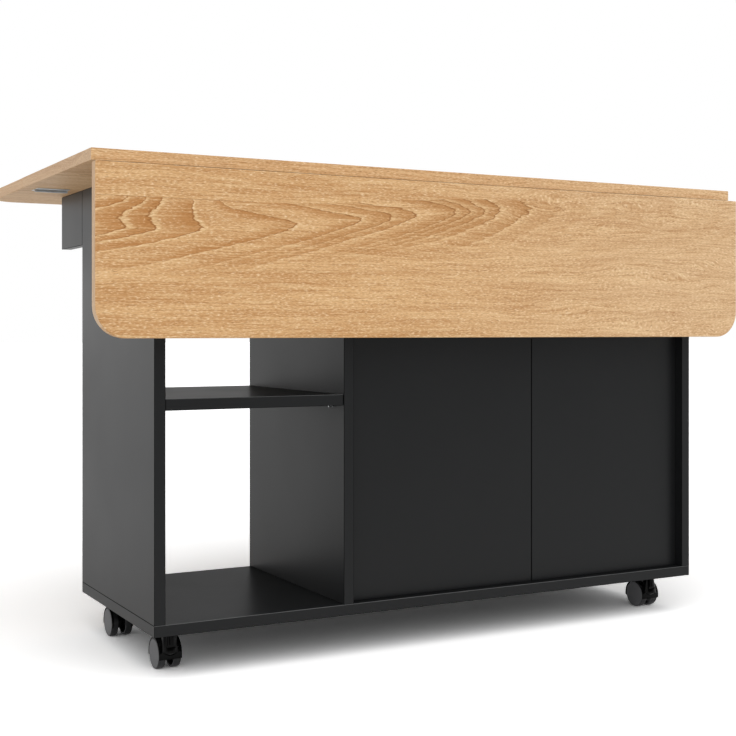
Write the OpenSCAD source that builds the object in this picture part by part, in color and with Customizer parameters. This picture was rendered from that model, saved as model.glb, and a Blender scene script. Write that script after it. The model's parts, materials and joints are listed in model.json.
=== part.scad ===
// Kitchen island on castors, with an open bay, two cupboards and a drop leaf on each long side.
// The front leaf hangs down. The rear leaf is raised and rests on two swung-out brackets.
// Front is -Y, rear is +Y, left is -X, up is +Z. The origin is on the floor, under the middle.

/* [Cabinet] */
// Length of the cabinet, left to right
cab_l = 1175; // [1000:5:1450]
// Depth of the cabinet, front to rear
cab_d = 435; // [360:5:540]
// Height from the bottom board's underside to the worktop's underside
cab_h = 792; // [640:2:960]
// Thickness of the cabinet's boards and of the leaf brackets
board_t = 20; // [16:1:25]
// Clear width of the open bay at the left
bay_w = 337; // [280:1:410]
// Distance from the cabinet's left face to the seam between the front panels
seam_x = 784; // [640:1:860]
// Width of that seam
seam_gap = 1.5; // [0.5:0.1:3]
// Distance that the front panels and the rails sit behind the board edges
recess = 20; // [19:1:30]
// Thickness of the front panels and the rails
panel_t = 16; // [12:1:20]
// Height of the front rail over the bay
front_rail_h = 60; // [40:1:120]
// Height of the rear rail
rear_rail_h = 130; // [125:1:170]

/* [Shelves] */
// Height of the shelves' tops above the bottom board's top
shelf_h = 380; // [250:1:480]
// Thickness of a shelf
shelf_t = 20; // [16:1:25]
// Distance that a shelf stops short of an open front or rear
shelf_setback = 2; // [0.5:0.5:20]
// Side gap between a shelf and its uprights
shelf_gap = 0.5; // [0.2:0.1:2]
// Radius of a shelf pin
shelf_pin_r = 2.5; // [2:0.1:3.5]
// Length of a shelf pin
shelf_pin_l = 16; // [10:1:20]
// Distance of the pins from the shelf's front and rear edges
shelf_pin_in = 45; // [20:1:90]

/* [Worktop and leaves] */
// Thickness of the worktop and of both leaves
top_t = 20; // [16:1:30]
// Distance that the worktop runs past the cabinet's left face
over_left = 113; // [90:1:150]
// Distance that the worktop runs past the cabinet's right face
over_right = 92; // [80:1:150]
// Width of a leaf, from its hinged edge to its free edge
leaf_w = 286; // [220:1:400]
// Radius of a leaf's two free corners
leaf_corner_r = 53; // [10:1:90]
// Gap between the worktop's edge and a raised leaf
leaf_gap = 1; // [0.6:0.1:3]

/* [Leaf brackets] */
// Length of a bracket
bracket_l = 153; // [110:1:190]
// Height of a bracket
bracket_h = 108; // [80:1:112]
// Gap between a folded bracket and the hanging leaf
bracket_leaf_gap = 2.2; // [1.8:0.1:8]

/* [Hinges] */
// Distance from a leaf or bracket hinge's mounting face to its pin axis
hinge_off = 3; // [2.8:0.1:5]
// Distance from a door hinge's mounting face to its pin axis
door_hinge_off = 1.5; // [1.5:0.1:2.5]
// Radius of a hinge pin
hinge_pin_r = 1.5; // [1.2:0.1:1.8]
// Radius of a hinge barrel
barrel_r = 2.7; // [2.4:0.1:2.7]
// Thickness of a hinge flap
flap_t = 1.2; // [1:0.1:1.4]
// Length of a leaf hinge, along its pin
leaf_hinge_l = 64; // [40:1:76]
// Reach of a leaf hinge's flap, from its pin axis
leaf_flap_w = 24; // [16:1:32]
// Length of a bracket hinge
bracket_hinge_l = 72; // [45:1:78]
// Reach of a bracket hinge's flap, from its pin axis
bracket_flap_w = 16; // [13:1:16]
// Length of a door hinge
door_hinge_l = 60; // [40:1:80]
// Reach of a door hinge's flap, from its pin axis
door_flap_w = 19; // [15:1:19]

/* [Doors] */
// Thickness of a door
door_t = 18; // [17:1:22]
// Gap round a door's top, bottom and free edge
door_gap = 2; // [1:0.5:4]
// Distance from the worktop's underside down to a door's top edge
door_drop = 120; // [115:1:124]
// Distance of a door hinge's middle from the door's top or bottom edge
door_hinge_in = 90; // [60:1:150]
// Distance between a handle's two posts
handle_span = 128; // [96:1:192]
// Length of a handle's bar
handle_l = 160; // [130:1:224]
// Radius of a handle's bar
handle_r = 5; // [4:0.5:7]
// Clear space for fingers behind a handle's bar
handle_clear = 24; // [20:1:35]
// Distance of a handle from the door's free edge
handle_in = 38; // [25:1:60]

/* [Castors] */
// Height of a castor, from the floor to the bottom board
castor_h = 75; // [70:1:95]
// Diameter of a castor wheel
wheel_d = 52; // [42:1:62]
// Width of one wheel of a castor's pair
wheel_w = 13.5; // [10:0.5:16]
// Gap between the two wheels of a castor
wheel_gap = 15; // [14:0.5:20]
// Distance from a castor's swivel axis to its wheel axle
castor_trail = 20; // [18:0.5:24]
// Distance of the swivel axis from the cabinet's left or right face
castor_in_x = 51; // [45:1:90]
// Distance of a front castor's swivel axis from the cabinet's front face
castor_in_front = 71; // [45:1:90]
// Distance of a rear castor's swivel axis from the cabinet's rear face
castor_in_rear = 51; // [45:1:90]
// Side of a castor's square mounting plate
plate_side = 42; // [38:1:50]
// Thickness of the mounting plate
plate_t = 2.5; // [2:0.1:4]
// Radius of the kingpin
kingpin_r = 4; // [3:0.1:4.5]
// Radius of the wheel axle
axle_r = 3; // [2.5:0.1:4]

/* [Fits] */
// Radial clearance of pins, axles, dowels and screws in their holes
fit = 0.05; // [0.02:0.01:0.1]
// Gap between facing surfaces that move past each other
run_gap = 0.3; // [0.2:0.05:0.5]

/* [Hidden] */
$fn = 48;
cut = 1; // overshoot of a cutting shape past the face that it opens

// Fasteners
dowel_r = 4;
dowel_l = 28;
dowel_in = 90;
hinge_screw_r = 1.5;
hinge_screw_head_r = 2.9;
hinge_screw_l = 12;
screw_spread = 0.3; // from a hinge's middle to each screw, as a part of the hinge's length
plate_screw_r = 2;
plate_screw_head_r = 3.8;
plate_screw_head_h = 2.2;
plate_screw_l = 16;
plate_screw_edge = 6.5;

// Worktop overhang at the front and rear: a folded bracket just fits behind a hanging leaf
over_side = board_t + run_gap + bracket_leaf_gap - hinge_off - leaf_gap / 2;

// Outline of the whole object
top_l = over_left + cab_l + over_right;
leaf_proud = over_side + leaf_gap / 2 + hinge_off + top_t;
leaf_reach = over_side + leaf_gap + leaf_w;

// Faces of the cabinet in the object's frame
x_left = over_left - top_l / 2;
x_right = x_left + cab_l;
y_front = (leaf_proud - cab_d - leaf_reach) / 2;
y_rear = y_front + cab_d;
x_mid = (x_left + x_right) / 2;

// Levels
z_board = castor_h;
z_floor = z_board + board_t;
z_under = z_board + cab_h;
z_shelf = z_floor + shelf_h;

// Uprights, from left to right
x_bay = x_left + board_t;
x_divider = x_bay + bay_w;
x_cupboard = x_divider + board_t;
x_seam = x_left + seam_x;
x_partition = x_seam - board_t / 2;
x_cupboard2 = x_partition + board_t;
x_inner_right = x_right - board_t;
upright_h = cab_h - board_t;
y_panel = y_front + recess;
y_cupboard = y_panel + panel_t;
y_rail = y_rear - recess - panel_t;

// Leaf hinges, along X, clear of the uprights and of the brackets' swing
bracket_pin_x = board_t + hinge_off;
bracket_pin_y = hinge_off - run_gap;
bracket_start = 2 * run_gap;
swing_r = norm([bracket_pin_x, bracket_pin_y + bracket_start + bracket_l]);
swing_x = bracket_pin_x + swing_r;
leaf_hinge_x = [
    x_left - over_left / 2,
    (x_left + swing_x + x_divider) / 2,
    (x_cupboard + x_partition) / 2,
    (x_cupboard2 + x_right - swing_x) / 2,
    x_right + over_right / 2
];
y_front_pin = y_front - over_side - leaf_gap / 2;
y_rear_pin = y_rear + over_side + leaf_gap / 2;
z_leaf_pin = z_under - hinge_off;
flap_start = barrel_r + 0.8; // where a flap's full length starts, clear of the knuckles

// Brackets
z_bracket = z_under - run_gap - bracket_h;
z_bracket_mid = z_bracket + bracket_h / 2;

// Doors
z_door = z_floor + door_gap;
z_door_top = z_under - door_drop;
door_h = z_door_top - z_door;
y_door = y_rear - door_t;
y_door_pin = y_rear + barrel_r + run_gap;
door_hinge_z = [z_door + door_hinge_in, z_door_top - door_hinge_in];
door_pin_x = [x_cupboard + door_hinge_off, x_inner_right - door_hinge_off];
door_open_x = [x_partition - door_gap, x_cupboard2 + door_gap];
catch_size = [14, 12, 40];
catch_drop = 60; // from a door's top edge down to its catch

// Castors
wheel_r = wheel_d / 2;
hub_t = 3;
hub_r = axle_r + hub_t;
rim_t = 3.5;
disc_t = 3;
rim_round = 1.6;
rim_edge = 0.6;
hood_t = 2.2;
hood_in_r = wheel_r + 2 * run_gap;
hood_r = hood_in_r + hood_t;
hood_w = wheel_gap + 2 * wheel_w;
hood_lip = 6.5; // how far the shell comes down past the axle
fender_w = 3; // width of the shell's rim beside the open treads
web_w = wheel_gap - 2;
web_r = wheel_r / 2;
race_r = 13;
race_t = 3;
z_race = castor_h - plate_t - race_t;

// The hood's collar round the swivel axis: it flares out of the shell, then tapers to the race
collar_r = [hood_r - castor_trail, 17, race_r - 2];
collar_z = [wheel_r, wheel_r + 6, z_race - run_gap];
slot = [16, 3]; // width and height of the slot across the collar's front
slot_z = wheel_r + 15;
slot_at_r = collar_r[1] - (collar_r[1] - collar_r[2])
    * (slot_z + slot[1] - collar_z[1]) / (collar_z[2] - collar_z[1]);
slot_y = sqrt(slot_at_r * slot_at_r - slot[0] * slot[0] / 4);
z_kingpin = wheel_r + 8;
axle_l = wheel_gap + 2 * (wheel_w - disc_t) - 2 * run_gap;

oak = "#d3a778";
charcoal = "#2a2b2c";
steel = "#b4b6b8";
gloss_black = "#161617";
dark_grey = "#4a4b4c";
beech = "#d8b98c";

// ---- Fasteners ----

// A countersunk screw or, grown by the clearance, its hole: head at z = 0, point up
module hinge_screw(grow) {
    rotate_extrude()
        polygon([
            [0, -grow], [hinge_screw_head_r + grow, -grow], [hinge_screw_head_r + grow, 0],
            [hinge_screw_r + grow, flap_t], [hinge_screw_r + grow, hinge_screw_l + grow],
            [0, hinge_screw_l + grow]
        ]);
}

// Two screws side by side along a hinge flap, in the hinge half's own frame
module flap_screws(l, off, reach, grow) {
    for (s = [-1, 1])
        translate([-off + flap_t, (flap_start + reach) / 2, s * l * screw_spread])
            rotate([0, -90, 0]) hinge_screw(grow);
}

module dowels(grow) {
    for (x = [x_left + board_t / 2, x_divider + board_t / 2, x_seam, x_right - board_t / 2])
        for (y = [y_front + dowel_in, y_rear - dowel_in])
            for (z = [z_floor, z_under])
                translate([x, y, z])
                    cylinder(r = dowel_r + grow, h = dowel_l + 2 * grow, center = true);
}

// Shelf pins on both sides of one compartment
module compartment_pins(x1, x2, y1, y2, grow) {
    for (x = [x1, x2])
        for (y = [y1 + shelf_pin_in, y2 - shelf_pin_in])
            translate([x, y, z_shelf - shelf_t - shelf_pin_r - fit])
                rotate([0, 90, 0])
                    cylinder(r = shelf_pin_r + grow, h = shelf_pin_l + 2 * grow, center = true);
}

module all_shelf_pins(grow) {
    compartment_pins(x_bay, x_divider, y_front + shelf_setback, y_rear - shelf_setback, grow);
    compartment_pins(x_cupboard, x_partition, y_cupboard, y_door - shelf_setback, grow);
    compartment_pins(x_cupboard2, x_inner_right, y_cupboard, y_door - shelf_setback, grow);
}

// ---- Hinges ----
// A hinge half's own frame: the pin lies along Z, the mounting face is at x = -off, and the flap
// reaches out along +Y. One half has the two end knuckles, the other has the middle one.

module hinge_half(l, off, reach, has_ends) {
    split = l / 6;
    spans = has_ends
        ? [[-l / 2, -split - run_gap / 2], [split + run_gap / 2, l / 2]]
        : [[-split + run_gap / 2, split - run_gap / 2]];
    difference() {
        union() {
            translate([-off, flap_start, -l / 2]) cube([flap_t, reach - flap_start, l]);
            for (s = spans) {
                translate([0, 0, s[0]]) cylinder(r = barrel_r, h = s[1] - s[0]);
                translate([-off + run_gap, 0, s[0]])
                    cube([flap_t - run_gap, flap_start + cut, s[1] - s[0]]);
            }
        }
        cylinder(r = hinge_pin_r + fit, h = l + 2 * cut, center = true);
        flap_screws(l, off, reach, fit);
    }
}

module hinge_pin(l) {
    cylinder(r = hinge_pin_r, h = l, center = true);
}

// Places a leaf hinge piece at each hinge position. rear is true for the rear leaf, on_leaf is
// true for the flap that sits on a leaf, and drop is how far that leaf hangs down, in degrees.
module leaf_hinge_places(rear, on_leaf, drop) {
    side = rear ? 1 : -1;
    for (x = leaf_hinge_x)
        translate([x, rear ? y_rear_pin : y_front_pin, z_leaf_pin])
            rotate([-side * drop, 0, 0])
                mirror([0, (rear == on_leaf) ? 0 : 1, 0])
                    rotate([0, 90, 0]) children();
}

module leaf_flaps(rear, on_leaf, drop) {
    leaf_hinge_places(rear, on_leaf, drop)
        hinge_half(leaf_hinge_l, hinge_off, leaf_flap_w, !on_leaf);
}

module leaf_screws(rear, on_leaf, drop, grow) {
    leaf_hinge_places(rear, on_leaf, drop)
        flap_screws(leaf_hinge_l, hinge_off, leaf_flap_w, grow);
}

// ---- Corners ----

// Draws its children, made for the rear left corner with the corner's edge at x = 0, y = 0, at
// the corner named by side_x (-1 left, 1 right) and side_y (-1 front, 1 rear)
module corner(side_x, side_y) {
    translate([side_x < 0 ? x_left : x_right, side_y < 0 ? y_front : y_rear, 0])
        mirror([side_x < 0 ? 0 : 1, 0, 0]) mirror([0, side_y < 0 ? 1 : 0, 0]) children();
}

// Turns its children about a bracket's pin, inwards by fold degrees
module fold_bracket(fold) {
    translate([bracket_pin_x, -bracket_pin_y, 0]) rotate([0, 0, -fold])
        translate([-bracket_pin_x, bracket_pin_y, 0]) children();
}

module bracket_hinge_place(on_bracket) {
    translate([bracket_pin_x, -bracket_pin_y, z_bracket_mid])
        mirror([0, on_bracket ? 0 : 1, 0]) children();
}

module bracket_screws(on_bracket, grow) {
    bracket_hinge_place(on_bracket)
        flap_screws(bracket_hinge_l, hinge_off, bracket_flap_w, grow);
}

module bracket_board(side_x, side_y, fold) {
    color(charcoal) corner(side_x, side_y) fold_bracket(fold)
        difference() {
            translate([0, bracket_start, z_bracket]) cube([board_t, bracket_l, bracket_h]);
            bracket_screws(true, fit);
        }
}

module bracket_flap(side_x, side_y, fold) {
    corner(side_x, side_y) fold_bracket(fold) bracket_hinge_place(true)
        hinge_half(bracket_hinge_l, hinge_off, bracket_flap_w, false);
}

module bracket_flap_screws(side_x, side_y, fold) {
    corner(side_x, side_y) fold_bracket(fold) bracket_screws(true, 0);
}

// ---- Cabinet ----

module bottom_board() {
    color(charcoal)
        difference() {
            translate([x_left, y_front, z_board]) cube([cab_l, cab_d, board_t]);
            dowels(fit);
            plate_screws(fit);
        }
}

// A full-depth upright standing on the bottom board
module upright(x, y) {
    translate([x, y, z_floor]) cube([board_t, y_rear - y, upright_h]);
}

module side_panel(x, side_x) {
    difference() {
        upright(x, y_front);
        dowels(fit);
        all_shelf_pins(fit);
        for (side_y = [-1, 1]) corner(side_x, side_y) bracket_screws(false, fit);
        if (side_x > 0) door_screws(1, false, fit);
    }
}

module left_side_panel() {
    color(charcoal) side_panel(x_left, -1);
}

module right_side_panel() {
    color(charcoal) side_panel(x_inner_right, 1);
}

module rear_rail_space() {
    translate([x_bay, y_rail, z_under - rear_rail_h])
        cube([x_inner_right - x_bay, panel_t, rear_rail_h]);
}

module bay_divider() {
    color(charcoal)
        difference() {
            upright(x_divider, y_front);
            dowels(fit);
            all_shelf_pins(fit);
            rear_rail_space();
            door_screws(0, false, fit);
        }
}

module cupboard_partition() {
    color(charcoal)
        difference() {
            upright(x_partition, y_cupboard);
            dowels(fit);
            all_shelf_pins(fit);
            rear_rail_space();
        }
}

module front_panel(x1, x2) {
    translate([x1, y_panel, z_floor]) cube([x2 - x1, panel_t, upright_h]);
}

module front_panel_left() {
    color(charcoal) front_panel(x_cupboard, x_seam - seam_gap / 2);
}

module front_panel_right() {
    color(charcoal) front_panel(x_seam + seam_gap / 2, x_inner_right);
}

module front_rail() {
    color(charcoal)
        translate([x_bay, y_panel, z_under - front_rail_h]) cube([bay_w, panel_t, front_rail_h]);
}

module rear_rail() {
    color(charcoal) rear_rail_space();
}

module shelf(x1, x2, y1, y2) {
    translate([x1 + shelf_gap, y1, z_shelf - shelf_t])
        cube([x2 - x1 - 2 * shelf_gap, y2 - y1, shelf_t]);
}

module bay_shelf() {
    color(charcoal) shelf(x_bay, x_divider, y_front + shelf_setback, y_rear - shelf_setback);
}

module left_cupboard_shelf() {
    color(charcoal) shelf(x_cupboard, x_partition, y_cupboard, y_door - shelf_setback);
}

module right_cupboard_shelf() {
    color(charcoal) shelf(x_cupboard2, x_inner_right, y_cupboard, y_door - shelf_setback);
}

module shelf_pins() {
    color(steel) all_shelf_pins(0);
}

module board_dowels() {
    color(beech) dowels(0);
}

// ---- Worktop and leaves ----

module worktop() {
    color(oak)
        difference() {
            translate([-top_l / 2, y_front - over_side, z_under])
                cube([top_l, cab_d + 2 * over_side, top_t]);
            dowels(fit);
            leaf_screws(false, false, 0, fit);
            leaf_screws(true, false, 0, fit);
        }
}

// A raised rear leaf's outline, hinged edge at y = 0, free corners rounded
module leaf_outline() {
    r = leaf_corner_r;
    translate([-top_l / 2, 0]) square([top_l, leaf_w - r]);
    translate([-top_l / 2 + r, 0]) square([top_l - 2 * r, leaf_w]);
    for (s = [-1, 1]) translate([s * (top_l / 2 - r), leaf_w - r]) circle(r);
}

// A leaf without its screw holes: rear or front, hanging down by drop degrees
module leaf_board(rear, drop) {
    side = rear ? 1 : -1;
    translate([0, rear ? y_rear_pin : y_front_pin, z_leaf_pin])
        rotate([-side * drop, 0, 0]) mirror([0, rear ? 0 : 1, 0])
            translate([0, leaf_gap / 2, hinge_off]) linear_extrude(top_t) leaf_outline();
}

module rear_leaf() {
    color(oak)
        difference() {
            leaf_board(true, 0);
            leaf_screws(true, true, 0, fit);
        }
}

module front_leaf() {
    color(oak)
        difference() {
            leaf_board(false, 90);
            leaf_screws(false, true, 90, fit);
        }
}

module worktop_hinge_flaps() {
    color(steel) {
        leaf_flaps(false, false, 0);
        leaf_flaps(true, false, 0);
    }
}

module rear_leaf_hinge_flaps() {
    color(steel) leaf_flaps(true, true, 0);
}

module front_leaf_hinge_flaps() {
    color(steel) leaf_flaps(false, true, 90);
}

module front_leaf_screws() {
    color(steel) leaf_screws(false, true, 90, 0);
}

module leaf_hinge_pins() {
    color(steel) {
        leaf_hinge_places(false, false, 0) hinge_pin(leaf_hinge_l);
        leaf_hinge_places(true, false, 0) hinge_pin(leaf_hinge_l);
    }
}

// The screws of every hinge flap that doesn't move
module hinge_screws() {
    color(steel) {
        leaf_screws(false, false, 0, 0);
        leaf_screws(true, false, 0, 0);
        leaf_screws(true, true, 0, 0);
        for (side_x = [-1, 1]) {
            for (side_y = [-1, 1]) corner(side_x, side_y) bracket_screws(false, 0);
            bracket_flap_screws(side_x, -1, 90);
        }
        for (i = [0, 1]) door_screws(i, false, 0);
    }
}

// ---- Leaf brackets ----

module front_left_bracket() {
    bracket_board(-1, -1, 90);
}

module front_right_bracket() {
    bracket_board(1, -1, 90);
}

module rear_left_bracket() {
    bracket_board(-1, 1, 0);
}

module rear_right_bracket() {
    bracket_board(1, 1, 0);
}

module front_bracket_hinge_flaps() {
    color(steel) for (side_x = [-1, 1]) bracket_flap(side_x, -1, 90);
}

module rear_left_bracket_hinge() {
    color(steel) {
        bracket_flap(-1, 1, 0);
        bracket_flap_screws(-1, 1, 0);
    }
}

module rear_right_bracket_hinge() {
    color(steel) {
        bracket_flap(1, 1, 0);
        bracket_flap_screws(1, 1, 0);
    }
}

module bracket_hinge_plates() {
    color(steel)
        for (side_x = [-1, 1], side_y = [-1, 1])
            corner(side_x, side_y) bracket_hinge_place(false)
                hinge_half(bracket_hinge_l, hinge_off, bracket_flap_w, true);
}

module bracket_hinge_pins() {
    color(steel)
        for (side_x = [-1, 1], side_y = [-1, 1])
            corner(side_x, side_y) bracket_hinge_place(false) hinge_pin(bracket_hinge_l);
}

// ---- Doors ----

// Draws its children at both hinges of door i (0 left, 1 right), on the door or on its upright
module door_hinge_places(i, on_door) {
    for (z = door_hinge_z)
        translate([door_pin_x[i], y_door_pin, z])
            mirror([(i == 1) == on_door ? 0 : 1, 0, 0]) mirror([0, 1, 0]) children();
}

module door_screws(i, on_door, grow) {
    door_hinge_places(i, on_door)
        flap_screws(door_hinge_l, door_hinge_off, door_flap_w, grow);
}

module door_flaps(i, on_door) {
    door_hinge_places(i, on_door)
        hinge_half(door_hinge_l, door_hinge_off, door_flap_w, !on_door);
}

module door(i) {
    hinged_x = door_pin_x[i] + (i == 0 ? 1 : -1) * door_hinge_off;
    low_x = min(hinged_x, door_open_x[i]);
    color(charcoal)
        difference() {
            translate([low_x, y_door, z_door])
                cube([abs(hinged_x - door_open_x[i]), door_t, door_h]);
            door_screws(i, true, fit);
        }
}

// A bar handle: a round bar with ball ends on two posts
module door_handle(i) {
    reach = handle_clear + handle_r;
    color(gloss_black)
        translate([
            door_open_x[i] + (i == 0 ? -1 : 1) * handle_in,
            y_rear,
            z_door_top - door_h / 3
        ]) {
            translate([0, reach, 0]) {
                cylinder(r = handle_r, h = handle_l - 2 * handle_r, center = true);
                for (s = [-1, 1])
                    translate([0, 0, s * (handle_l / 2 - handle_r)]) sphere(handle_r);
            }
            for (s = [-1, 1])
                translate([0, 0, s * handle_span / 2])
                    rotate([-90, 0, 0]) cylinder(r = handle_r - 1, h = reach);
        }
}

module left_door() {
    door(0);
}

module right_door() {
    door(1);
}

module left_door_handle() {
    door_handle(0);
}

module right_door_handle() {
    door_handle(1);
}

module left_door_hinges() {
    color(steel) {
        door_flaps(0, true);
        door_screws(0, true, 0);
    }
}

module right_door_hinges() {
    color(steel) {
        door_flaps(1, true);
        door_screws(1, true, 0);
    }
}

module door_hinge_plates() {
    color(steel) for (i = [0, 1]) door_flaps(i, false);
}

module door_hinge_pins() {
    color(steel) for (i = [0, 1]) door_hinge_places(i, false) hinge_pin(door_hinge_l);
}

// A magnetic catch on each face of the partition, just behind the doors
module door_catches() {
    for (x = [x_partition - catch_size[0], x_cupboard2])
        color(gloss_black)
            translate([x, y_door - run_gap - catch_size[1], z_door_top - catch_drop - catch_size[2]])
                cube(catch_size);
}

// ---- Castors ----
// A castor's own frame: the swivel axis is Z, the floor is z = 0, and the wheels trail along +Y.

module castor_place(side_x, side_y) {
    translate([
        x_mid + side_x * (cab_l / 2 - castor_in_x),
        side_y < 0 ? y_front + castor_in_front : y_rear - castor_in_rear,
        0
    ])
        rotate([0, 0, side_y > 0 ? 180 : 0]) children();
}

module each_castor() {
    for (side_x = [-1, 1], side_y = [-1, 1]) castor_place(side_x, side_y) children();
}

module plate_screws(grow) {
    at = plate_side / 2 - plate_screw_edge;
    each_castor()
        for (sx = [-1, 1], sy = [-1, 1])
            translate([sx * at, sy * at, castor_h - plate_t - plate_screw_head_h]) {
                cylinder(r = plate_screw_r + grow, h = plate_screw_l + grow);
                if (grow == 0) cylinder(r = plate_screw_head_r, h = plate_screw_head_h);
            }
}

module castor_screws() {
    color(steel) plate_screws(0);
}

// Square plate, bearing race and riveted kingpin
module castor_plates() {
    color(steel)
        difference() {
            each_castor() {
                translate([-plate_side / 2, -plate_side / 2, castor_h - plate_t])
                    cube([plate_side, plate_side, plate_t]);
                translate([0, 0, z_race]) cylinder(r = race_r, h = race_t);
                translate([0, 0, z_kingpin]) cylinder(r = kingpin_r, h = castor_h - z_kingpin);
            }
            plate_screws(fit);
        }
}

// Side view of the hood's shell: a ring round the axle, down to the lip
module hood_ring() {
    difference() {
        circle(hood_r);
        circle(hood_in_r);
        translate([-2 * hood_r, -2 * hood_r - hood_lip]) square([4 * hood_r, 2 * hood_r]);
    }
}

// Side view of the side where the treads are open: all that lies behind the axle
module trailing_side() {
    translate([hood_t, -2 * hood_r]) square([2 * hood_r, 4 * hood_r]);
}

// Side view of the web between the wheels: a boss round the axle, and an arm to the collar
module hood_web() {
    circle(web_r);
    intersection() {
        circle(hood_r);
        translate([-2 * hood_r, 0]) square(2 * hood_r);
    }
}

// Stands a side view up across the castor, about its axle
module across(w) {
    translate([0, castor_trail, wheel_r]) rotate([90, 0, 90])
        linear_extrude(w, center = true) children();
}

module hood_collar() {
    difference() {
        for (i = [0, 1])
            translate([0, 0, collar_z[i]])
                cylinder(r1 = collar_r[i], r2 = collar_r[i + 1], h = collar_z[i + 1] - collar_z[i]);
        difference() {
            across(2 * hood_r) circle(hood_in_r);
            across(web_w) square(4 * hood_r, center = true);
        }
    }
}

module castor_hood(side_x, side_y) {
    color(gloss_black) castor_place(side_x, side_y)
        difference() {
            union() {
                difference() {
                    across(hood_w) hood_ring();
                    across(hood_w - 2 * fender_w) trailing_side();
                }
                across(web_w) hood_web();
                hood_collar();
            }
            translate([0, 0, z_kingpin - run_gap]) cylinder(r = kingpin_r + fit, h = castor_h);
            translate([0, castor_trail, wheel_r])
                rotate([0, 90, 0]) cylinder(r = axle_r + fit, h = web_w + 2 * cut, center = true);
            translate([-slot[0] / 2, -2 * collar_r[1], slot_z])
                cube([slot[0], 2 * collar_r[1] - slot_y, slot[1]]);
        }
}

module castor_axle(side_x, side_y) {
    color(steel) castor_place(side_x, side_y)
        translate([0, castor_trail, wheel_r])
            rotate([0, 90, 0]) cylinder(r = axle_r, h = axle_l, center = true);
}

// Half section of a wheel: hub, outer disc and rim, with a blind bore and a rounded outer rim
module wheel_section() {
    polygon(concat(
        [
            [0, wheel_w - disc_t], [axle_r + fit, wheel_w - disc_t], [axle_r + fit, 0],
            [hub_r, 0], [hub_r, wheel_w - disc_t],
            [wheel_r - rim_t, wheel_w - disc_t], [wheel_r - rim_t, 0],
            [wheel_r - rim_edge, 0], [wheel_r, rim_edge]
        ],
        [
            for (a = [0:15:90]) [
                wheel_r - rim_round + rim_round * cos(a),
                wheel_w - rim_round + rim_round * sin(a)
            ]
        ],
        [[0, wheel_w]]
    ));
}

// outer is true for the wheel nearer the cabinet's end
module castor_wheel(side_x, side_y, outer) {
    side = -side_x * side_y * (outer ? 1 : -1);
    color(dark_grey) castor_place(side_x, side_y)
        translate([side * wheel_gap / 2, castor_trail, wheel_r])
            rotate([0, side * 90, 0]) rotate_extrude() wheel_section();
}

module front_left_castor_hood() castor_hood(-1, -1);
module front_left_castor_axle() castor_axle(-1, -1);
module front_left_castor_outer_wheel() castor_wheel(-1, -1, true);
module front_left_castor_inner_wheel() castor_wheel(-1, -1, false);
module front_right_castor_hood() castor_hood(1, -1);
module front_right_castor_axle() castor_axle(1, -1);
module front_right_castor_outer_wheel() castor_wheel(1, -1, true);
module front_right_castor_inner_wheel() castor_wheel(1, -1, false);
module rear_left_castor_hood() castor_hood(-1, 1);
module rear_left_castor_axle() castor_axle(-1, 1);
module rear_left_castor_outer_wheel() castor_wheel(-1, 1, true);
module rear_left_castor_inner_wheel() castor_wheel(-1, 1, false);
module rear_right_castor_hood() castor_hood(1, 1);
module rear_right_castor_axle() castor_axle(1, 1);
module rear_right_castor_outer_wheel() castor_wheel(1, 1, true);
module rear_right_castor_inner_wheel() castor_wheel(1, 1, false);

bottom_board();
left_side_panel();
right_side_panel();
bay_divider();
cupboard_partition();
front_panel_left();
front_panel_right();
front_rail();
rear_rail();
bay_shelf();
left_cupboard_shelf();
right_cupboard_shelf();
shelf_pins();
board_dowels();
worktop();
rear_leaf();
worktop_hinge_flaps();
rear_leaf_hinge_flaps();
leaf_hinge_pins();
front_leaf();
front_leaf_hinge_flaps();
front_leaf_screws();
hinge_screws();
front_left_bracket();
front_right_bracket();
front_bracket_hinge_flaps();
bracket_hinge_plates();
bracket_hinge_pins();
rear_left_bracket();
rear_left_bracket_hinge();
rear_right_bracket();
rear_right_bracket_hinge();
door_hinge_plates();
door_hinge_pins();
door_catches();
left_door();
left_door_hinges();
left_door_handle();
right_door();
right_door_hinges();
right_door_handle();
castor_plates();
castor_screws();
front_left_castor_hood();
front_left_castor_axle();
front_left_castor_outer_wheel();
front_left_castor_inner_wheel();
front_right_castor_hood();
front_right_castor_axle();
front_right_castor_outer_wheel();
front_right_castor_inner_wheel();
rear_left_castor_hood();
rear_left_castor_axle();
rear_left_castor_outer_wheel();
rear_left_castor_inner_wheel();
rear_right_castor_hood();
rear_right_castor_axle();
rear_right_castor_outer_wheel();
rear_right_castor_inner_wheel();
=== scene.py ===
import json
import math

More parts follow.
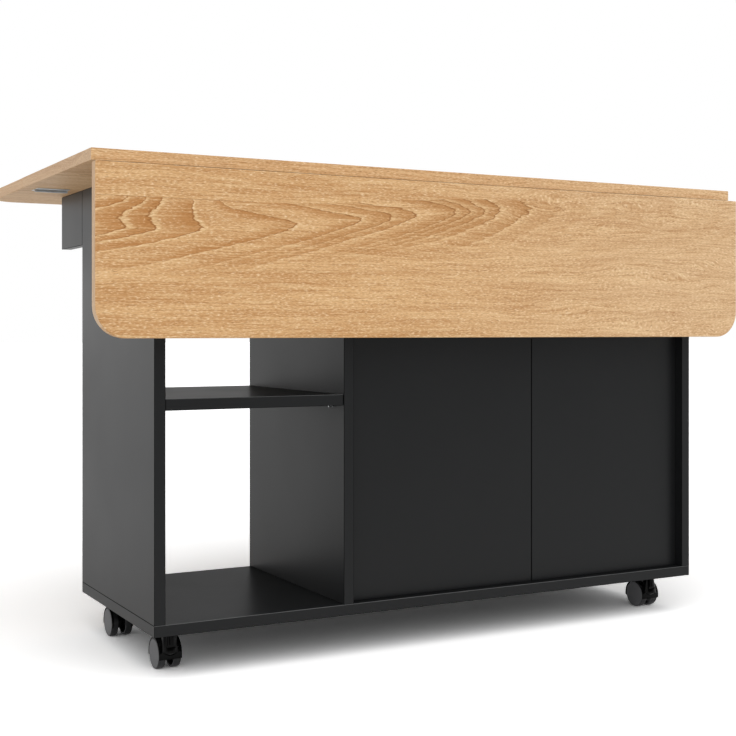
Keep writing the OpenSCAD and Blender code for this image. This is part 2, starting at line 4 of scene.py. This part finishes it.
import bmesh
import bpy
import numpy as np
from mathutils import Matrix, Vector

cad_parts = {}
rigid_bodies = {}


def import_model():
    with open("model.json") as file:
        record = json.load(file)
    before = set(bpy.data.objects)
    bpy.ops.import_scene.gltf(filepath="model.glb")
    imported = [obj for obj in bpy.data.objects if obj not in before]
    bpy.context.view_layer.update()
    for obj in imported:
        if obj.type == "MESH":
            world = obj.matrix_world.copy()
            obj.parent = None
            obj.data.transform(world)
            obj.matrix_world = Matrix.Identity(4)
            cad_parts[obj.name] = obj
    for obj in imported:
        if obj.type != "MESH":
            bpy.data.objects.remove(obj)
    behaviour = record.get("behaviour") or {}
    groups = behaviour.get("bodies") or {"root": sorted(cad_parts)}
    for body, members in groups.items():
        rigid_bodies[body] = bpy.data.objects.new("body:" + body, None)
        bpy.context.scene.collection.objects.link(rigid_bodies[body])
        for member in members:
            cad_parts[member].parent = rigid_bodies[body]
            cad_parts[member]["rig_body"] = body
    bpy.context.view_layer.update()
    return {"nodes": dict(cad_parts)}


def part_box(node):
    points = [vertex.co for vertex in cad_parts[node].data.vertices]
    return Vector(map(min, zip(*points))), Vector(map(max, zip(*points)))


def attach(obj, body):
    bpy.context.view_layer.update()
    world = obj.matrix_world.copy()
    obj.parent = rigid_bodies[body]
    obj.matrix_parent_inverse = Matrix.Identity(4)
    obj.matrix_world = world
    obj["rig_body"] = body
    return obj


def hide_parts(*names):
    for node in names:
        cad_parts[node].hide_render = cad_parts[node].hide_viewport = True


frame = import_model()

nodes = frame["nodes"]

# ---- Bottom board ----
# The board that the whole cabinet stands on. It is 20 mm chipboard faced with charcoal melamine,
# and its sawn edges are closed with a plastic strip whose corners the edging machine rounds off.


def srgb(code):
    """Linear colour of an sRGB hex code: ((c + 0.055) / 1.055) ** 2.4, or c / 12.92 near black."""
    c = np.array([int(code[i:i + 2], 16) for i in (1, 3, 5)]) / 255
    return (*np.where(c > 0.04045, ((c + 0.055) / 1.055) ** 2.4, c / 12.92), 1.0)


def put(tree, kind, links=(), output=None, **settings):
    """
    Adds a shader node. links gives its inputs in order or by name, each an output of another
    node or a value. Returns the named output, or else the first one in use.
    """
    made = tree.nodes.new("ShaderNode" + kind)
    for name, value in settings.items():
        setattr(made, name, value)
    for socket, source in links.items() if isinstance(links, dict) else enumerate(links):
        if isinstance(source, bpy.types.NodeSocket):
            tree.links.new(source, made.inputs[socket])
        else:
            made.inputs[socket].default_value = source
    return made.outputs[output] if output else next(out for out in made.outputs if out.enabled)


def start(name):
    """A new material, with its tree and its empty Principled shader."""
    made = bpy.data.materials.new(name)
    made.use_nodes = True
    return made, made.node_tree, made.node_tree.nodes["Principled BSDF"]


# Melamine facing: resin-soaked paper pressed against a fine-pearled plate. It looks almost black
# from the front and greyer at a low angle, with a soft, slightly uneven sheen. The plate's pearls
# are drawn 1.2 mm apart, because the real ones, at about 0.5 mm, are too fine to show.
pearl_gap, cloud_gap = 0.0012, 0.16
melamine, tree, shader = start("charcoal melamine facing")
place = put(tree, "TexCoord", output="Object")
pearl = put(tree, "TexNoise", {"Vector": place, "Scale": 1 / pearl_gap, "Detail": 3})
cloud = put(tree, "TexNoise", {"Vector": place, "Scale": 1 / cloud_gap, "Detail": 4})
shade = put(tree, "Mix", {"Factor": cloud, "A": srgb("#151617"), "B": srgb("#1a1b1c")}, data_type="RGBA")
tree.links.new(shade, shader.inputs["Base Color"])
sheen = put(tree, "MapRange", {"Value": cloud, "To Min": 0.33, "To Max": 0.41})
tree.links.new(sheen, shader.inputs["Roughness"])
dimple = put(tree, "Bump", {"Height": pearl, "Strength": 0.12, "Distance": 0.0001})
tree.links.new(dimple, shader.inputs["Normal"])
shader.inputs["IOR"].default_value = 1.36

# The edge strip's scraped corner: matt ABS plastic, painted darker than the facing as shade, so
# that where two boards meet it shows a dark painted shadow line. The scraper's marks are about
# 20 mm long.
scrape_gap = 0.02
arris_painted_shade, tree, shader = start("scraped edge of charcoal ABS strip")
place = put(tree, "TexCoord", output="Object")
scrape = put(tree, "TexNoise", {"Vector": place, "Scale": 1 / scrape_gap, "Detail": 3})
shade = put(tree, "Mix", {"Factor": scrape, "A": srgb("#0c0c0c"), "B": srgb("#141414")}, data_type="RGBA")
tree.links.new(shade, shader.inputs["Base Color"])
shader.inputs["Roughness"].default_value = 0.85
shader.inputs["Specular IOR Level"].default_value = 0.1

# The same corner, painted pale as a highlight where it faces the light, and glossier. Only corners
# that face up and to the front take it.
arris_painted_highlight, tree, shader = start("rubbed edge of charcoal ABS strip")
place = put(tree, "TexCoord", output="Object")
scrape = put(tree, "TexNoise", {"Vector": place, "Scale": 1 / scrape_gap, "Detail": 3})
shade = put(tree, "Mix", {"Factor": scrape, "A": srgb("#4a4b4c"), "B": srgb("#686969")}, data_type="RGBA")
tree.links.new(shade, shader.inputs["Base Color"])
shader.inputs["Roughness"].default_value = 0.28


def merged(node, flat_angle):
    """
    A copy of a CAD node's mesh, whose loose triangles are joined into one face wherever they meet
    at less than flat_angle degrees.
    """
    mesh = nodes[node].data.copy()
    mesh.materials.clear()
    shell = bmesh.new()
    shell.from_mesh(mesh)
    bmesh.ops.remove_doubles(shell, verts=shell.verts, dist=1e-6)
    bmesh.ops.dissolve_limit(
        shell, angle_limit=math.radians(flat_angle), verts=shell.verts, edges=shell.edges,
    )
    return mesh, shell


def stand_in(node, ending, mesh, shell, finishes):
    """The piece that shows in place of a CAD node, with the reworked mesh, on the node's body."""
    shell.to_mesh(mesh)
    shell.free()
    piece = bpy.data.objects.new(node + ending, mesh)
    bpy.context.scene.collection.objects.link(piece)
    for finish in finishes:
        mesh.materials.append(finish)
    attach(piece, nodes[node]["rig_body"])
    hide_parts(node)
    return piece


def board(node, finishes, arris_r=0.0008):
    """
    A board with rounded outer edges. Where two outer faces meet at more than 30 degrees, their
    edge becomes a quarter round of radius arris_r in 3 flat steps. An outer face is one that lies
    in a side of the board's box, or that spans its whole thickness. The finishes are for the
    faces, for the rounds, and for the rounds that face up and to the front, towards the light,
    where a painted highlight can go.
    """
    low, high = (np.array(corner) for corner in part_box(node))
    across = int(np.argmin(high - low))
    slack = 1e-5
    mesh, shell = merged(node, 1)
    outer = set()
    for face in shell.faces:
        face.material_index = 0
        points = np.array([v.co for v in face.verts])
        in_side = (np.abs(points - low) < slack).all(0) | (np.abs(points - high) < slack).all(0)
        if in_side.any() or np.ptp(points[:, across]) > (high - low)[across] - slack:
            outer.add(face)
    sharp = [
        e for e in shell.edges
        if len(e.link_faces) == 2 and set(e.link_faces) <= outer and e.calc_face_angle() > math.radians(30)
    ]
    bmesh.ops.bevel(
        shell, geom=sharp, offset=arris_r, offset_type="OFFSET", segments=3, profile=0.5,
        affect="EDGES", clamp_overlap=True, material=1,
    )
    # Rounds that face up and to the front, towards the light, take the third finish, which for charcoal
    # boards is a painted highlight.
    for face in shell.faces:
        if face.material_index == 1 and face.normal.z > 0.2 and face.normal.y < -0.2:
            face.material_index = 2
    return stand_in(node, "_board", mesh, shell, finishes)


# Charcoal boards: the facing, rounds painted darker as shade where boards meet, and rounds that face up and
# to the front painted paler as a highlight.
charcoal = (melamine, arris_painted_shade, arris_painted_highlight)
board("bottom_board", charcoal)

# ---- Uprights ----
# Two side panels, the divider beside the open bay and the partition between the cupboards, all
# of the same faced board. They stand on the bottom board and are held by hidden beech dowels.
for name in ("left_side_panel", "right_side_panel", "bay_divider", "cupboard_partition"):
    board(name, charcoal)

# ---- Front panels and rails ----
# Thinner boards set 20 mm back between the uprights: two fixed panels that meet at a seam, and
# the rails at the front and the rear that stiffen the cabinet under the worktop.
for name in ("front_panel_left", "front_panel_right", "front_rail", "rear_rail"):
    board(name, charcoal, 0.0006)

# ---- Shelves ----
# One loose shelf in the bay and one in each cupboard, of the same board. Each lies on four steel
# pins, which stand in holes in the uprights.
for name in ("bay_shelf", "left_cupboard_shelf", "right_cupboard_shelf"):
    board(name, charcoal)

# ---- Dowels ----
# Fluted beech pegs that join the uprights to the bottom board and the worktop. They are glued
# in, and none shows once the cabinet is together.

# Beech: pale pinkish wood with short darker flecks. They are 0.8 mm apart and run along the peg.
fleck_gap, fleck_stretch = 0.0008, 0.06
beech, tree, shader = start("turned beech dowel")
place = put(tree, "TexCoord", output="Object")
upright = put(tree, "Mapping", {"Vector": place, "Scale": (1, 1, fleck_stretch)})
fleck = put(tree, "TexNoise", {"Vector": upright, "Scale": 1 / fleck_gap, "Detail": 4})
shade = put(tree, "Mix", {"Factor": fleck, "A": srgb("#c79b6c"), "B": srgb("#e2c397")}, data_type="RGBA")
tree.links.new(shade, shader.inputs["Base Color"])
shader.inputs["Roughness"].default_value = 0.6
nodes["board_dowels"].data.materials.clear()
nodes["board_dowels"].data.materials.append(beech)

# ---- Worktop and leaves ----
# Three pieces of the same board, faced with printed oak decor and edged with a matching strip.
# The grain runs along the length, and the pattern is cut through from one piece to the next.

# Oak decor: a printed paper under a satin melamine coat, with its pores pressed in. The print
# shows planks side by side. In each, the growth rings make nested arches that point to the right.
# All sizes of the pattern are in mm.
plank_w = 290.0
decor_l = 1400.0  # the print's length, after which it runs back
plank_shift = 410.0  # how much farther left each plank's print lies than the last one's
blunt = 8.0  # radius that rounds the arches' tips
# Where the ring lines cross the arches' centre line, from the piece's middle
ring_tips = (
    -780, -700, -639, -589, -508, -335, -208, -142, -94, -8, 22, 54, 92, 159, 230, 300, 380, 450,
    520, 600, 660, 740, 860, 1000,
)
smooth = {"interpolation_type": "SMOOTHSTEP"}


def oak(name, tint=0.0):
    """
    Oak figure on the UV map, u along the grain and v across it. At a distance d from the arches'
    centre line, a ring line lies slope * (sqrt(d * d + blunt * blunt) - blunt) to the left of its
    tip. Each line ends a darkening band of late wood, and a pale band of early wood follows it.
    tint is how far the whole is drawn towards a plain pinkish tone.
    """
    made, tree, shader = start(name)

    def fade(value, *steps):
        """
        The value times one smooth step for each list, which gives what the step depends on, where
        it starts and ends, and, if they aren't 0 and 1, the factors there.
        """
        for step in steps:
            factor = put(tree, "MapRange", step, **smooth)
            value = put(tree, "Math", [value, factor], operation="MULTIPLY")
        return value

    def grain(down, period_u, period_v, detail, shift):
        """Noise with those distances between its crests, along u and down the plank."""
        at = put(tree, "CombineXYZ", [
            put(tree, "Math", [u, period_u], operation="DIVIDE"),
            put(tree, "Math", [down, period_v], operation="DIVIDE"), shift,
        ])
        return put(tree, "TexNoise", {"Vector": at, "Scale": 1.0, "Detail": detail})

    spot = put(tree, "UVMap", uv_map="decor")
    spot = put(tree, "VectorMath", {0: spot, "Scale": 1000.0}, operation="SCALE")
    u = put(tree, "SeparateXYZ", [spot], "X")
    v = put(tree, "SeparateXYZ", [spot], "Y")

    # Which plank, and where in it. The first plank's upper edge bends a little on the right.
    first_edge = put(tree, "MapRange", [u, -400, 100, 54, 26], **smooth)
    plank = put(tree, "Math", [v, first_edge], operation="SUBTRACT")
    plank = put(tree, "Math", [plank, plank_w], operation="DIVIDE")
    plank = put(tree, "Math", [plank], operation="FLOOR")
    plank_top = put(tree, "Math", [plank, plank_w], operation="MULTIPLY")
    in_plank = put(tree, "Math", [v, plank_top], operation="SUBTRACT")
    along = put(tree, "Math", [plank, plank_shift, u], operation="MULTIPLY_ADD")
    along = put(tree, "Math", [along, decor_l / 2], operation="ADD")
    along = put(tree, "Math", [along, decor_l], operation="PINGPONG")
    along = put(tree, "Math", [along, decor_l / 2], operation="SUBTRACT")

    # Distance below the arches' centre line, which drifts, and wavers by up to 7 mm
    centre = put(tree, "MapRange", [along, -620, 280, 105, 38], **smooth)
    waver = put(tree, "Math", [grain(v, 220, 50, 2, 3.1), 14, -7], operation="MULTIPLY_ADD")
    off = put(tree, "Math", [in_plank, centre], operation="SUBTRACT")
    off = put(tree, "Math", [off, waver], operation="ADD")

    # Slope of the lines above and below the centre line
    steeper = put(tree, "MapRange", [along, -540, -440, 1.2, 5.0], **smooth)
    gentler = put(tree, "MapRange", [along, -200, 60, 5.0, 2.1], **smooth)
    above = put(tree, "Math", [steeper, gentler], operation="MINIMUM")
    below = put(tree, "MapRange", [along, -250, 120, 5.2, 2.1], **smooth)
    under = put(tree, "Math", [off, 0.0], operation="GREATER_THAN")
    slope = put(tree, "Mix", {"Factor": under, "A": above, "B": below})
    lag = put(tree, "Math", [off, off, blunt * blunt], operation="MULTIPLY_ADD")
    lag = put(tree, "Math", [lag], operation="SQRT")
    lag = put(tree, "Math", [lag, blunt], operation="SUBTRACT")
    lag = put(tree, "Math", [lag, slope], operation="MULTIPLY")

    # The lines' S bend at the upper left, which pushes them to the right
    near_bend = put(tree, "MapRange", [along, -450, -560, 0, 66], **smooth)
    far_bend = put(tree, "MapRange", [along, -560, -700, 0, 110], **smooth)
    bend = put(tree, "Math", [near_bend, far_bend], operation="ADD")
    bend = fade(bend, [off, -12, -58])

    # Ragged edges of the lines, more so on the right
    ragged = put(tree, "Math", [grain(v, 30, 4.5, 3, 7.7), 0.5], operation="SUBTRACT")
    ragged = fade(ragged, [along, 100, 260, 26, 90])
    at_ring = put(tree, "Math", [along, lag], operation="ADD")
    at_ring = put(tree, "Math", [at_ring, bend], operation="SUBTRACT")
    at_ring = put(tree, "Math", [at_ring, ragged], operation="ADD")

    # Distances to the ring line before this point and to the one after it
    before, after = ring_tips[0], ring_tips[1]
    for tip, second, third in zip(ring_tips, ring_tips[1:], ring_tips[2:]):
        passed = put(tree, "Math", [at_ring, second], operation="GREATER_THAN")
        before = put(tree, "Math", [passed, second - tip, before], operation="MULTIPLY_ADD")
        after = put(tree, "Math", [passed, third - second, after], operation="MULTIPLY_ADD")
    since = put(tree, "Math", [at_ring, before], operation="SUBTRACT")
    until = put(tree, "Math", [after, at_ring], operation="SUBTRACT")

    # The figure is clear near the centre line, and fades into straight grain away from it and
    # towards the right
    away = put(tree, "Math", [off], operation="ABSOLUTE")
    figure = fade(1.0, [away, 28, 85, 1.0, 0.15], [at_ring, 150, 260, 1.0, 0.30])
    late = fade(figure, [until, 75, 1])
    line = fade(figure, [until, 6, 2], [until, 0, 1], [off, 6, 34, 1.0, 0.25])
    early = fade(figure, [since, 0, 2], [since, 16, 5], [along, -560, -380, 0.95, 0.5])

    # The straight grain sways a little, and more so towards the right. Its fibres are drawn 2.3 mm
    # apart and its pores 1.3 mm, because the real ones, at 0.3 mm, are too fine to show.
    sway = put(tree, "Math", [grain(v, 260, 80, 2, 6.4), 0.5], operation="SUBTRACT")
    sway = fade(sway, [u, -250, 250, 16, 60])
    down = put(tree, "Math", [v, sway], operation="ADD")
    fibre = grain(down, 95, 2.3, 2, 1.3)
    broad = grain(down, 420, 17, 3, 5.9)
    streak = grain(down, 6.5, 1.6, 1, 9.2)
    streak = put(tree, "Math", [late, -0.10, streak], operation="MULTIPLY_ADD")
    pore = put(tree, "MapRange", [grain(down, 8, 1.3, 2, 2.4), 0.60, 0.72], **smooth)

    # The glue line along the first plank's upper edge, which shows only at the far left
    seam = put(tree, "Math", [in_plank, 54], operation="SUBTRACT")
    seam = put(tree, "Math", [seam], operation="ABSOLUTE")
    seam = fade(1.0, [seam, 1.6, 0.4], [along, -400, -460])

    # Colours laid over one another: where, how strongly, and which
    bands = put(tree, "MapRange", [broad, 0.3, 0.7], **smooth)
    wood = put(tree, "Mix", {"Factor": bands, "A": srgb("#c89661"), "B": srgb("#dcb07c")}, data_type="RGBA")
    rightward = put(tree, "MapRange", [along, -600, 200], **smooth)
    late_tone = put(tree, "Mix", {
        "Factor": rightward, "A": srgb("#b47637"), "B": srgb("#ba8650"),
    }, data_type="RGBA")
    layers = [
        (put(tree, "MapRange", [u, -300, 650], **smooth), 0.50, srgb("#dfc09a")),
        (put(tree, "MapRange", [down, 2, -4], **smooth), 0.25, srgb("#ecca9c")),
        (late, 0.66, late_tone),
        (early, 0.72, srgb("#ecca98")),
        (put(tree, "MapRange", [fibre, 0.50, 0.72], **smooth), 0.55, srgb("#b07b45")),
        (put(tree, "MapRange", [fibre, 0.50, 0.28], **smooth), 0.45, srgb("#efcf9f")),
        (put(tree, "MapRange", [streak, 0.50, 0.78], **smooth), 0.72, srgb("#f6dcb4")),
        (put(tree, "MapRange", [streak, 0.46, 0.20], **smooth), 0.55, srgb("#a8733c")),
        (pore, 0.60, srgb("#9c6833")),
        (line, 0.70, srgb("#8f5b2a")),
        (seam, 0.60, srgb("#96622f")),
    ]
    if tint:
        layers.append((1.0, tint, srgb("#dcbfa4")))
    for where, strength, colour in layers:
        factor = put(tree, "Math", [where, strength], operation="MULTIPLY")
        wood = put(tree, "Mix", {"Factor": factor, "A": wood, "B": colour}, data_type="RGBA")
    tree.links.new(wood, shader.inputs["Base Color"])
    rough = put(tree, "MapRange", [fibre, 0.2, 0.8, 0.46, 0.58], **smooth)
    tree.links.new(rough, shader.inputs["Roughness"])
    shader.inputs["Specular IOR Level"].default_value = 0.35
    relief = put(tree, "Math", [fibre, 0.4], operation="MULTIPLY")
    relief = put(tree, "Math", [relief, pore], operation="SUBTRACT")
    bump = put(tree, "Bump", {"Height": relief, "Strength": 0.25, "Distance": 0.0002})
    tree.links.new(bump, shader.inputs["Normal"])
    return made


decor = oak("printed oak melamine")
edging = oak("printed oak edge strip", 0.40)
hinge_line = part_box("front_leaf")[1].z
front_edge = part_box("worktop")[0].y
strip_at = (0.35, 0.21)  # where in the pattern the end edges' strip is cut


def lay_decor(piece, thick, width, origin):
    """
    UV map in metres. On the faces, u is x and v the distance back from origin along the width
    axis. On a long edge v runs up to the hinge line's height, and on an end edge the strip's
    grain runs along it. The end edges take the second finish, and all else takes the first.
    """
    mesh = piece.data
    loop_vertex = np.empty(len(mesh.loops), np.int32)
    mesh.loops.foreach_get("vertex_index", loop_vertex)
    points = np.empty(len(mesh.vertices) * 3)
    mesh.vertices.foreach_get("co", points)
    points = points.reshape(-1, 3)[loop_vertex]
    normals = np.empty(len(mesh.polygons) * 3)
    mesh.polygons.foreach_get("normal", normals)
    totals = np.empty(len(mesh.polygons), np.int32)
    mesh.polygons.foreach_get("loop_total", totals)
    normals = np.repeat(normals.reshape(-1, 3), totals, axis=0)
    span = origin - points[:, width]
    on_face = np.abs(normals[:, thick]) > 0.5
    at_end = ~on_face & (np.abs(normals[:, 0]) > np.abs(normals[:, width]))
    u = np.where(at_end, span + strip_at[0], points[:, 0])
    on_edge = np.where(at_end, points[:, thick] + strip_at[1], span + hinge_line - points[:, 2])
    v = np.where(on_face, span, on_edge)
    mesh.uv_layers.new(name="decor").data.foreach_set("uv", np.stack([u, v], 1).ravel())
    first_loop = np.cumsum(totals) - totals
    mesh.polygons.foreach_set("material_index", np.where(at_end[first_loop], 1, 0).astype(np.int32))


oak_faced = (decor, edging, edging)
lay_decor(board("front_leaf", oak_faced, 0.0015), 1, 2, hinge_line)
lay_decor(board("worktop", oak_faced, 0.0005), 2, 1, front_edge)
lay_decor(board("rear_leaf", oak_faced, 0.0015), 2, 1, front_edge)

# ---- Hinges, pins and screws ----
# Butt hinges pressed from steel strip, with rolled knuckles and a loose pin, and countersunk
# screws. The shelf pins and the castors' plates and axles are of the same steel.

# Bright zinc plate: a cool white metal whose crystals, 4 mm apart, dull the shine unevenly
spangle_gap = 0.004
zinc, tree, shader = start("bright zinc plated steel")
place = put(tree, "TexCoord", output="Object")
spangle = put(tree, "TexNoise", {"Vector": place, "Scale": 1 / spangle_gap, "Detail": 5})
shade = put(tree, "Mix", {"Factor": spangle, "A": srgb("#c2c6c8"), "B": srgb("#e6e8e8")}, data_type="RGBA")
tree.links.new(shade, shader.inputs["Base Color"])
shader.inputs["Metallic"].default_value = 1.0
dull = put(tree, "MapRange", {"Value": spangle, "To Min": 0.34, "To Max": 0.50})
tree.links.new(dull, shader.inputs["Roughness"])
dimple = put(tree, "Bump", {"Height": spangle, "Strength": 0.15, "Distance": 0.0001})
tree.links.new(dimple, shader.inputs["Normal"])
for name in nodes:
    if any(word in name for word in ("hinge", "screws", "pins", "castor_plates", "castor_axle")):
        nodes[name].data.materials.clear()
        nodes[name].data.materials.append(zinc)

# ---- Leaf brackets ----
# Short boards on edge, hinged to the side panels' edges. The rear pair is swung out under the
# raised leaf, and the front pair lies folded behind the hanging one.
for name in ("front_left_bracket", "front_right_bracket", "rear_left_bracket", "rear_right_bracket"):
    board(name, charcoal)

# ---- Doors, handles and catches ----
# One door to each cupboard, of the same board, with a black painted bar handle screwed on from
# inside. A small black case with a magnet holds each door shut.
for name in ("left_door", "right_door"):
    board(name, charcoal)

# Powder coat: baked black paint, soft in its shine. Its orange peel has crests 0.9 mm apart.
peel_gap = 0.0009
powder, tree, shader = start("black powder coated steel")
place = put(tree, "TexCoord", output="Object")
peel = put(tree, "TexNoise", {"Vector": place, "Scale": 1 / peel_gap, "Detail": 3})
shade = put(tree, "Mix", {"Factor": peel, "A": srgb("#121213"), "B": srgb("#1d1d1e")}, data_type="RGBA")
tree.links.new(shade, shader.inputs["Base Color"])
shader.inputs["Roughness"].default_value = 0.42
dimple = put(tree, "Bump", {"Height": peel, "Strength": 0.3, "Distance": 0.0001})
tree.links.new(dimple, shader.inputs["Normal"])
for name in ("left_door_handle", "right_door_handle", "door_catches"):
    nodes[name].data.materials.clear()
    nodes[name].data.materials.append(powder)

# ---- Castors ----
# Twin-wheel furniture castors: a glossy black nylon hood over both wheels, which have a dark grey
# tread and a lighter grey face. Each pair turns on a steel axle pushed through the hood's web.

# Glossy nylon: moulded in a polished mould, so black that only its highlights show. The melt's
# flow, in waves 12 mm long, makes them waver.
flow_gap = 0.012
gloss, tree, shader = start("glossy black moulded nylon")
place = put(tree, "TexCoord", output="Object")
flow = put(tree, "TexNoise", {"Vector": place, "Scale": 1 / flow_gap, "Detail": 3})
shade = put(tree, "Mix", {"Factor": flow, "A": srgb("#040404"), "B": srgb("#0a0a0a")}, data_type="RGBA")
tree.links.new(shade, shader.inputs["Base Color"])
polish = put(tree, "MapRange", {"Value": flow, "To Min": 0.05, "To Max": 0.12})
tree.links.new(polish, shader.inputs["Roughness"])
shader.inputs["IOR"].default_value = 1.22

# Satin nylon: moulded against a spark-eroded surface. Its grain is drawn 0.8 mm apart, because
# the real one, at about 0.1 mm, is too fine to show.
spark_gap = 0.0008


def nylon(name, dark, light, rough):
    """Moulded nylon, its colour speckled between two tones by the grain, which also dimples it."""
    made, tree, shader = start(name)
    place = put(tree, "TexCoord", output="Object")
    spark = put(tree, "TexNoise", {"Vector": place, "Scale": 1 / spark_gap, "Detail": 3})
    shade = put(tree, "Mix", {"Factor": spark, "A": srgb(dark), "B": srgb(light)}, data_type="RGBA")
    tree.links.new(shade, shader.inputs["Base Color"])
    shader.inputs["Roughness"].default_value = rough
    dimple = put(tree, "Bump", {"Height": spark, "Strength": 0.15, "Distance": 0.0001})
    tree.links.new(dimple, shader.inputs["Normal"])
    return made


tread = nylon("dark grey satin nylon tread", "#1c1c1d", "#262627", 0.30)
disc = nylon("grey satin nylon wheel face", "#5c5c5e", "#6c6c6e", 0.42)


def moulded(node, finishes):
    """
    A smooth-shaded moulding. Edges sharper than 25 degrees become rounds of 0.4 mm in 2 steps, and
    shading breaks at those that are still sharper than 50. Faces square to x take the last finish.
    """
    edge_r = 0.0004
    mesh, shell = merged(node, 0.5)
    sharp = [
        e for e in shell.edges
        if len(e.link_faces) == 2 and e.calc_face_angle() > math.radians(25)
    ]
    bmesh.ops.bevel(
        shell, geom=sharp, offset=edge_r, offset_type="OFFSET", segments=2, profile=0.5,
        affect="EDGES", clamp_overlap=True,
    )
    for face in shell.faces:
        face.smooth = True
        face.material_index = len(finishes) - 1 if abs(face.normal.x) > 0.9 else 0
    for edge in shell.edges:
        edge.smooth = len(edge.link_faces) == 2 and edge.calc_face_angle() < math.radians(50)
    stand_in(node, "_moulded", mesh, shell, finishes)


for corner in ("front_left", "front_right", "rear_left", "rear_right"):
    moulded(f"{corner}_castor_hood", [gloss])
    for side in ("outer", "inner"):
        moulded(f"{corner}_castor_{side}_wheel", [tread, disc])

# ---- Studio ----
# A white paper floor in a white room, one large soft lamp overhead, and the camera at the
# photograph's place. The camera sees the paper 1.6 times as bright, as pure white, while the
# light that the paper sends back onto the object stays as it was.
reach = 60.0
floor = bpy.data.objects.new("floor", bpy.data.meshes.new("floor"))
corners = [(-reach, -reach, 0), (reach, -reach, 0), (reach, reach, 0), (-reach, reach, 0)]
floor.data.from_pydata(corners, [], [(0, 1, 2, 3)])
bpy.context.scene.collection.objects.link(floor)

# Backdrop paper: dull white, with clouds 0.3 m apart that hardly show
pulp_gap, seen_gain = 0.3, 1.6
paper, tree, shader = start("white backdrop paper")
tree.nodes.remove(shader)
place = put(tree, "TexCoord", output="Object")
pulp = put(tree, "TexNoise", {"Vector": place, "Scale": 1 / pulp_gap, "Detail": 2})
shade = put(tree, "Mix", {"Factor": pulp, "A": srgb("#f8f8f8"), "B": srgb("#fafafa")}, data_type="RGBA")
lift = put(tree, "LightPath", output="Is Camera Ray")
lift = put(tree, "Math", [lift, seen_gain - 1, 1.0], operation="MULTIPLY_ADD")
shade = put(tree, "VectorMath", {0: shade, "Scale": lift}, operation="SCALE")
matt = put(tree, "BsdfDiffuse", {"Color": shade})
tree.links.new(matt, tree.nodes["Material Output"].inputs["Surface"])
floor.data.materials.append(paper)

# The room is white to the camera. Its light on matt surfaces is a little stronger from the front.
# In glossy ones it shows as a dark studio with a bright strip along the horizon, except in front,
# and a bright ceiling. So upright boards catch the light, and those that lie flat look dark.
sky = bpy.data.worlds.new("studio")
bpy.context.scene.world = sky
sky.use_nodes = True
tree = sky.node_tree
toward = put(tree, "TexCoord", output="Generated")
toward_rear = put(tree, "SeparateXYZ", [toward], "Y")
toward_top = put(tree, "SeparateXYZ", [toward], "Z")
front_dark = put(tree, "MapRange", [toward_rear, -0.95, -0.3, 0.02, 1.5], **smooth)
horizon = put(tree, "MapRange", [toward_top, 0.0, 0.2, 1.0, 0.1], **smooth)
ceiling = put(tree, "MapRange", [toward_top, 0.75, 0.9, 0.0, 1.0], **smooth)
mirrored = put(tree, "Math", [front_dark, horizon], operation="MULTIPLY")
mirrored = put(tree, "Math", [mirrored, ceiling], operation="MAXIMUM")
room = put(tree, "MapRange", [toward_rear, -0.6, 0.6, 0.62, 0.32], **smooth)
glossy = put(tree, "LightPath", output="Is Glossy Ray")
seen = put(tree, "Mix", {"Factor": glossy, "A": room, "B": mirrored})
for ray in ("Is Camera Ray", "Is Transmission Ray"):
    seen = put(tree, "Math", [seen, put(tree, "LightPath", output=ray)], operation="MAXIMUM")
glow = tree.nodes["Background"]
glow.inputs["Color"].default_value = (1, 1, 1, 1)
tree.links.new(seen, glow.inputs["Strength"])

# The lamp is a wide soft box above and in front. It isn't mirrored, as the ceiling is.
lamp = bpy.data.objects.new("soft overhead lamp", bpy.data.lights.new("soft overhead lamp", "SUN"))
lamp.data.energy = 1.62
lamp.data.angle = math.radians(80)
lamp.visible_glossy = False
lamp.rotation_mode = "QUATERNION"
lamp.rotation_quaternion = Vector((-0.25, -0.70, 1.0)).to_track_quat("Z", "Y")
bpy.context.scene.collection.objects.link(lamp)

# The camera is level. Its place, heading and lens were fitted to the photograph's straight edges.
camera = bpy.data.objects.new("camera", bpy.data.cameras.new("camera"))
camera.location = (-1.2757, -2.4034, 0.5898)
camera.rotation_mode = "QUATERNION"
camera.rotation_quaternion = Vector((0.4737, 0.8807, 0.0)).to_track_quat("-Z", "Y")
camera.data.sensor_width = 36.0
camera.data.lens = 62.56
camera.data.shift_y = -0.0505
bpy.context.scene.collection.objects.link(camera)
bpy.context.scene.camera = camera
bpy.context.scene.view_settings.view_transform = "Standard"
